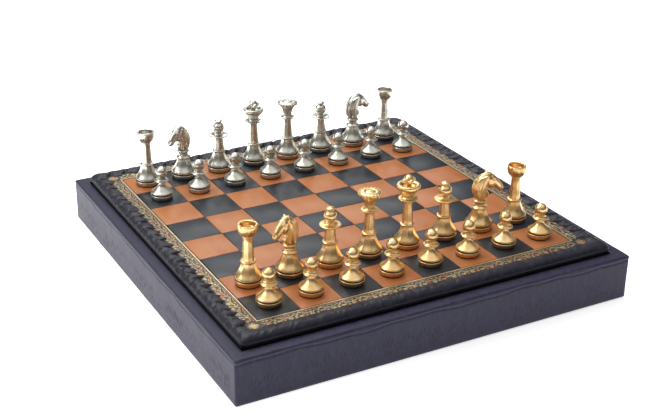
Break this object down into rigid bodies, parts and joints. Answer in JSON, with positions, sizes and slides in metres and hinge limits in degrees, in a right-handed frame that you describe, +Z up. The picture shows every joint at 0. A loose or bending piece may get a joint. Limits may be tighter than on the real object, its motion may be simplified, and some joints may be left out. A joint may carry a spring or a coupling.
{
  "type": "chess set with board",
  "caption": "Leather chessboard that lifts off a lined storage box as its lid, with gold and silver plated chessmen set out on it.",
  "frame": {"origin": "middle of the box's underside, on the surface it stands on", "axes": "+Z up, +Y towards the silver side of the board, +X to the right for a player behind the gold men"},
  "size_m": [0.348, 0.348, 0.1059],
  "materials": {
    "wood_board": "medium density fibreboard, sealed",
    "black_board": "fibreboard painted matt black",
    "embossed_leatherette": "embossed leatherette, satin",
    "padded_leatherette": "soft leatherette over foam, gathered",
    "base_felt": "pressed felt",
    "velvet": "short-pile velvet",
    "foam": "open-cell foam strip",
    "tan_leather": "dyed leather, satin",
    "navy_leather": "dyed leather, satin",
    "gilt_leather": "dark leather with gilt scrolls",
    "brass_inlay": "polished brass line",
    "gold_plate": "gold plated, polished",
    "silver_plate": "nickel plated, polished"
  },
  "bodies": {
    "box": {"bottom_panel": "wood_board", "front_wall": "wood_board", "back_wall": "wood_board", "left_wall": "wood_board", "right_wall": "wood_board", "leatherette_wrap": "embossed_leatherette", "base_cloth": "base_felt", "floor_lining": "velvet", "front_liner": "velvet", "back_liner": "velvet", "left_liner": "velvet", "right_liner": "velvet", "centre_divider": "velvet", "left_divider": "velvet", "right_divider": "velvet"},
    "lid": {"lid_base": "wood_board", "board_panel": "black_board", "lid_lining": "velvet", "edge_foam": "foam", "edge_cover": "padded_leatherette", "tan_squares": "tan_leather", "navy_squares": "navy_leather", "brass_line": "brass_inlay", "gilt_border": "gilt_leather"},
    "silver_rook_left": {"silver_rook_left": "silver_plate"},
    "silver_knight_left": {"silver_knight_left": "silver_plate"},
    "silver_bishop_left": {"silver_bishop_left": "silver_plate"},
    "silver_king": {"silver_king": "silver_plate"},
    "silver_queen": {"silver_queen": "silver_plate"},
    "silver_bishop_right": {"silver_bishop_right": "silver_plate"},
    "silver_knight_right": {"silver_knight_right": "silver_plate"},
    "silver_rook_right": {"silver_rook_right": "silver_plate"},
    "silver_pawn_1": {"silver_pawn_1": "silver_plate"},
    "silver_pawn_2": {"silver_pawn_2": "silver_plate"},
    "silver_pawn_3": {"silver_pawn_3": "silver_plate"},
    "silver_pawn_4": {"silver_pawn_4": "silver_plate"},
    "silver_pawn_5": {"silver_pawn_5": "silver_plate"},
    "silver_pawn_6": {"silver_pawn_6": "silver_plate"},
    "silver_pawn_7": {"silver_pawn_7": "silver_plate"},
    "silver_pawn_8": {"silver_pawn_8": "silver_plate"},
    "gold_rook_left": {"gold_rook_left": "gold_plate"},
    "gold_knight_left": {"gold_knight_left": "gold_plate"},
    "gold_bishop_left": {"gold_bishop_left": "gold_plate"},
    "gold_queen": {"gold_queen": "gold_plate"},
    "gold_king": {"gold_king": "gold_plate"},
    "gold_bishop_right": {"gold_bishop_right": "gold_plate"},
    "gold_knight_right": {"gold_knight_right": "gold_plate"},
    "gold_rook_right": {"gold_rook_right": "gold_plate"},
    "gold_pawn_1": {"gold_pawn_1": "gold_plate"},
    "gold_pawn_2": {"gold_pawn_2": "gold_plate"},
    "gold_pawn_3": {"gold_pawn_3": "gold_plate"},
    "gold_pawn_4": {"gold_pawn_4": "gold_plate"},
    "gold_pawn_5": {"gold_pawn_5": "gold_plate"},
    "gold_pawn_6": {"gold_pawn_6": "gold_plate"},
    "gold_pawn_7": {"gold_pawn_7": "gold_plate"},
    "gold_pawn_8": {"gold_pawn_8": "gold_plate"}
  },
  "joints": [
    {"name": "lift_lid", "type": "slide", "parent": "box", "child": "lid", "axis": [0, 0, 1], "range_m": [0, 0.12]},
    {"name": "lift_silver_rook_left", "type": "slide", "parent": "lid", "child": "silver_rook_left", "axis": [0, 0, 1], "range_m": [0, 0.08]},
    {"name": "lift_silver_knight_left", "type": "slide", "parent": "lid", "child": "silver_knight_left", "axis": [0, 0, 1], "range_m": [0, 0.08]},
    {"name": "lift_silver_bishop_left", "type": "slide", "parent": "lid", "child": "silver_bishop_left", "axis": [0, 0, 1], "range_m": [0, 0.08]},
    {"name": "lift_silver_king", "type": "slide", "parent": "lid", "child": "silver_king", "axis": [0, 0, 1], "range_m": [0, 0.08]},
    {"name": "lift_silver_queen", "type": "slide", "parent": "lid", "child": "silver_queen", "axis": [0, 0, 1], "range_m": [0, 0.08]},
    {"name": "lift_silver_bishop_right", "type": "slide", "parent": "lid", "child": "silver_bishop_right", "axis": [0, 0, 1], "range_m": [0, 0.08]},
    {"name": "lift_silver_knight_right", "type": "slide", "parent": "lid", "child": "silver_knight_right", "axis": [0, 0, 1], "range_m": [0, 0.08]},
    {"name": "lift_silver_rook_right", "type": "slide", "parent": "lid", "child": "silver_rook_right", "axis": [0, 0, 1], "range_m": [0, 0.08]},
    {"name": "lift_silver_pawn_1", "type": "slide", "parent": "lid", "child": "silver_pawn_1", "axis": [0, 0, 1], "range_m": [0, 0.08]},
    {"name": "lift_silver_pawn_2", "type": "slide", "parent": "lid", "child": "silver_pawn_2", "axis": [0, 0, 1], "range_m": [0, 0.08]},
    {"name": "lift_silver_pawn_3", "type": "slide", "parent": "lid", "child": "silver_pawn_3", "axis": [0, 0, 1], "range_m": [0, 0.08]},
    {"name": "lift_silver_pawn_4", "type": "slide", "parent": "lid", "child": "silver_pawn_4", "axis": [0, 0, 1], "range_m": [0, 0.08]},
    {"name": "lift_silver_pawn_5", "type": "slide", "parent": "lid", "child": "silver_pawn_5", "axis": [0, 0, 1], "range_m": [0, 0.08]},
    {"name": "lift_silver_pawn_6", "type": "slide", "parent": "lid", "child": "silver_pawn_6", "axis": [0, 0, 1], "range_m": [0, 0.08]},
    {"name": "lift_silver_pawn_7", "type": "slide", "parent": "lid", "child": "silver_pawn_7", "axis": [0, 0, 1], "range_m": [0, 0.08]},
    {"name": "lift_silver_pawn_8", "type": "slide", "parent": "lid", "child": "silver_pawn_8", "axis": [0, 0, 1], "range_m": [0, 0.08]},
    {"name": "lift_gold_rook_left", "type": "slide", "parent": "lid", "child": "gold_rook_left", "axis": [0, 0, 1], "range_m": [0, 0.08]},
    {"name": "lift_gold_knight_left", "type": "slide", "parent": "lid", "child": "gold_knight_left", "axis": [0, 0, 1], "range_m": [0, 0.08]},
    {"name": "lift_gold_bishop_left", "type": "slide", "parent": "lid", "child": "gold_bishop_left", "axis": [0, 0, 1], "range_m": [0, 0.08]},
    {"name": "lift_gold_queen", "type": "slide", "parent": "lid", "child": "gold_queen", "axis": [0, 0, 1], "range_m": [0, 0.08]},
    {"name": "lift_gold_king", "type": "slide", "parent": "lid", "child": "gold_king", "axis": [0, 0, 1], "range_m": [0, 0.08]},
    {"name": "lift_gold_bishop_right", "type": "slide", "parent": "lid", "child": "gold_bishop_right", "axis": [0, 0, 1], "range_m": [0, 0.08]},
    {"name": "lift_gold_knight_right", "type": "slide", "parent": "lid", "child": "gold_knight_right", "axis": [0, 0, 1], "range_m": [0, 0.08]},
    {"name": "lift_gold_rook_right", "type": "slide", "parent": "lid", "child": "gold_rook_right", "axis": [0, 0, 1], "range_m": [0, 0.08]},
    {"name": "lift_gold_pawn_1", "type": "slide", "parent": "lid", "child": "gold_pawn_1", "axis": [0, 0, 1], "range_m": [0, 0.08]},
    {"name": "lift_gold_pawn_2", "type": "slide", "parent": "lid", "child": "gold_pawn_2", "axis": [0, 0, 1], "range_m": [0, 0.08]},
    {"name": "lift_gold_pawn_3", "type": "slide", "parent": "lid", "child": "gold_pawn_3", "axis": [0, 0, 1], "range_m": [0, 0.08]},
    {"name": "lift_gold_pawn_4", "type": "slide", "parent": "lid", "child": "gold_pawn_4", "axis": [0, 0, 1], "range_m": [0, 0.08]},
    {"name": "lift_gold_pawn_5", "type": "slide", "parent": "lid", "child": "gold_pawn_5", "axis": [0, 0, 1], "range_m": [0, 0.08]},
    {"name": "lift_gold_pawn_6", "type": "slide", "parent": "lid", "child": "gold_pawn_6", "axis": [0, 0, 1], "range_m": [0, 0.08]},
    {"name": "lift_gold_pawn_7", "type": "slide", "parent": "lid", "child": "gold_pawn_7", "axis": [0, 0, 1], "range_m": [0, 0.08]},
    {"name": "lift_gold_pawn_8", "type": "slide", "parent": "lid", "child": "gold_pawn_8", "axis": [0, 0, 1], "range_m": [0, 0.08]}
  ]
}
